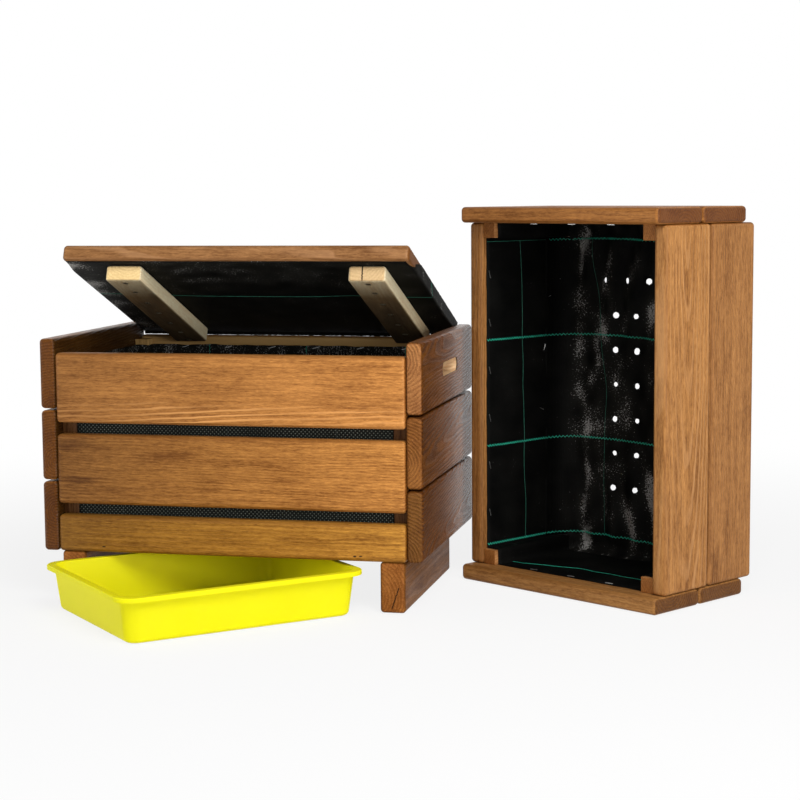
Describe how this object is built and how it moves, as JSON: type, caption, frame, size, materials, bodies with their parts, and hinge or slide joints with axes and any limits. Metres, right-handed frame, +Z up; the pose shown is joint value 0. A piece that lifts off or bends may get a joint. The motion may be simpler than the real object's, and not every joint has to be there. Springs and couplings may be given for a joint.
{
  "type": "wormery",
  "caption": "Wooden stacking wormery: a slatted base box on runners with an opened hinged lid, a loose drip tray in front and a second box standing on its end.",
  "frame": {"origin": "middle of the whole group's outline, at floor level", "axes": "+X to the right along the base box's front, +Y towards its back, +Z up"},
  "size_m": [0.9406, 0.6598, 0.53],
  "materials": {
    "stained_pine": "satin stain",
    "bare_pine": "planed, unfinished",
    "woven_liner": "woven tape cloth",
    "tray_plastic": "gloss",
    "staple_steel": "galvanised",
    "screw_steel": "zinc plated",
    "hinge_steel": "zinc plated"
  },
  "bodies": {
    "base_box": {"back_board_low": "stained_pine", "back_board_middle": "stained_pine", "back_board_top": "stained_pine", "base_liner_back": "woven_liner", "base_liner_floor": "woven_liner", "base_liner_front": "woven_liner", "base_liner_left": "woven_liner", "base_liner_right": "woven_liner", "base_post_back_left": "bare_pine", "base_post_back_right": "bare_pine", "base_post_front_left": "bare_pine", "base_post_front_right": "bare_pine", "base_rail_left": "bare_pine", "base_rail_right": "bare_pine", "base_screws": "screw_steel", "base_staples": "staple_steel", "front_board_low": "stained_pine", "front_board_middle": "stained_pine", "front_board_top": "stained_pine", "hinge_lower_leaf_left": "hinge_steel", "hinge_lower_leaf_right": "hinge_steel", "hinge_pins": "hinge_steel", "left_side_board_low": "stained_pine", "left_side_board_middle": "stained_pine", "left_side_board_top": "stained_pine", "right_side_board_low": "stained_pine", "right_side_board_middle": "stained_pine", "right_side_board_top": "stained_pine", "runner_left": "stained_pine", "runner_right": "stained_pine"},
    "lid": {"hinge_upper_leaf_left": "hinge_steel", "hinge_upper_leaf_right": "hinge_steel", "lid_batten_left": "bare_pine", "lid_batten_right": "bare_pine", "lid_liner": "woven_liner", "lid_plank_front": "stained_pine", "lid_plank_rear": "stained_pine", "lid_plank_second": "stained_pine", "lid_plank_third": "stained_pine", "lid_screws": "screw_steel"},
    "tray": {"drip_tray": "tray_plastic"},
    "second_box": {"module_back_board_low": "stained_pine", "module_back_board_top": "stained_pine", "module_front_board_low": "stained_pine", "module_front_board_top": "stained_pine", "module_left_board_low": "stained_pine", "module_left_board_top": "stained_pine", "module_liner_back": "woven_liner", "module_liner_floor": "woven_liner", "module_liner_front": "woven_liner", "module_liner_left": "woven_liner", "module_liner_right": "woven_liner", "module_post_back_left": "bare_pine", "module_post_back_right": "bare_pine", "module_post_front_left": "bare_pine", "module_post_front_right": "bare_pine", "module_right_board_low": "stained_pine", "module_right_board_top": "stained_pine", "module_screws": "screw_steel", "module_staples": "staple_steel"}
  },
  "joints": [
    {"name": "lid_hinge", "type": "hinge", "parent": "base_box", "child": "lid", "pos_m": [-0.20531, 0.26661, 0.33915], "axis": [-1, 0, 0], "range_deg": [-20.6, 174]},
    {"name": "tray_move", "type": "hinge", "parent": "base_box", "child": "tray", "pos_m": [-0.46749, -0.00864, 0], "axis": [0, 0, 1], "range_deg": [-43, 47]},
    {"name": "second_box_lift", "type": "slide", "parent": "base_box", "child": "second_box", "axis": [0, 0, 1], "range_m": [0, 0.3]}
  ]
}
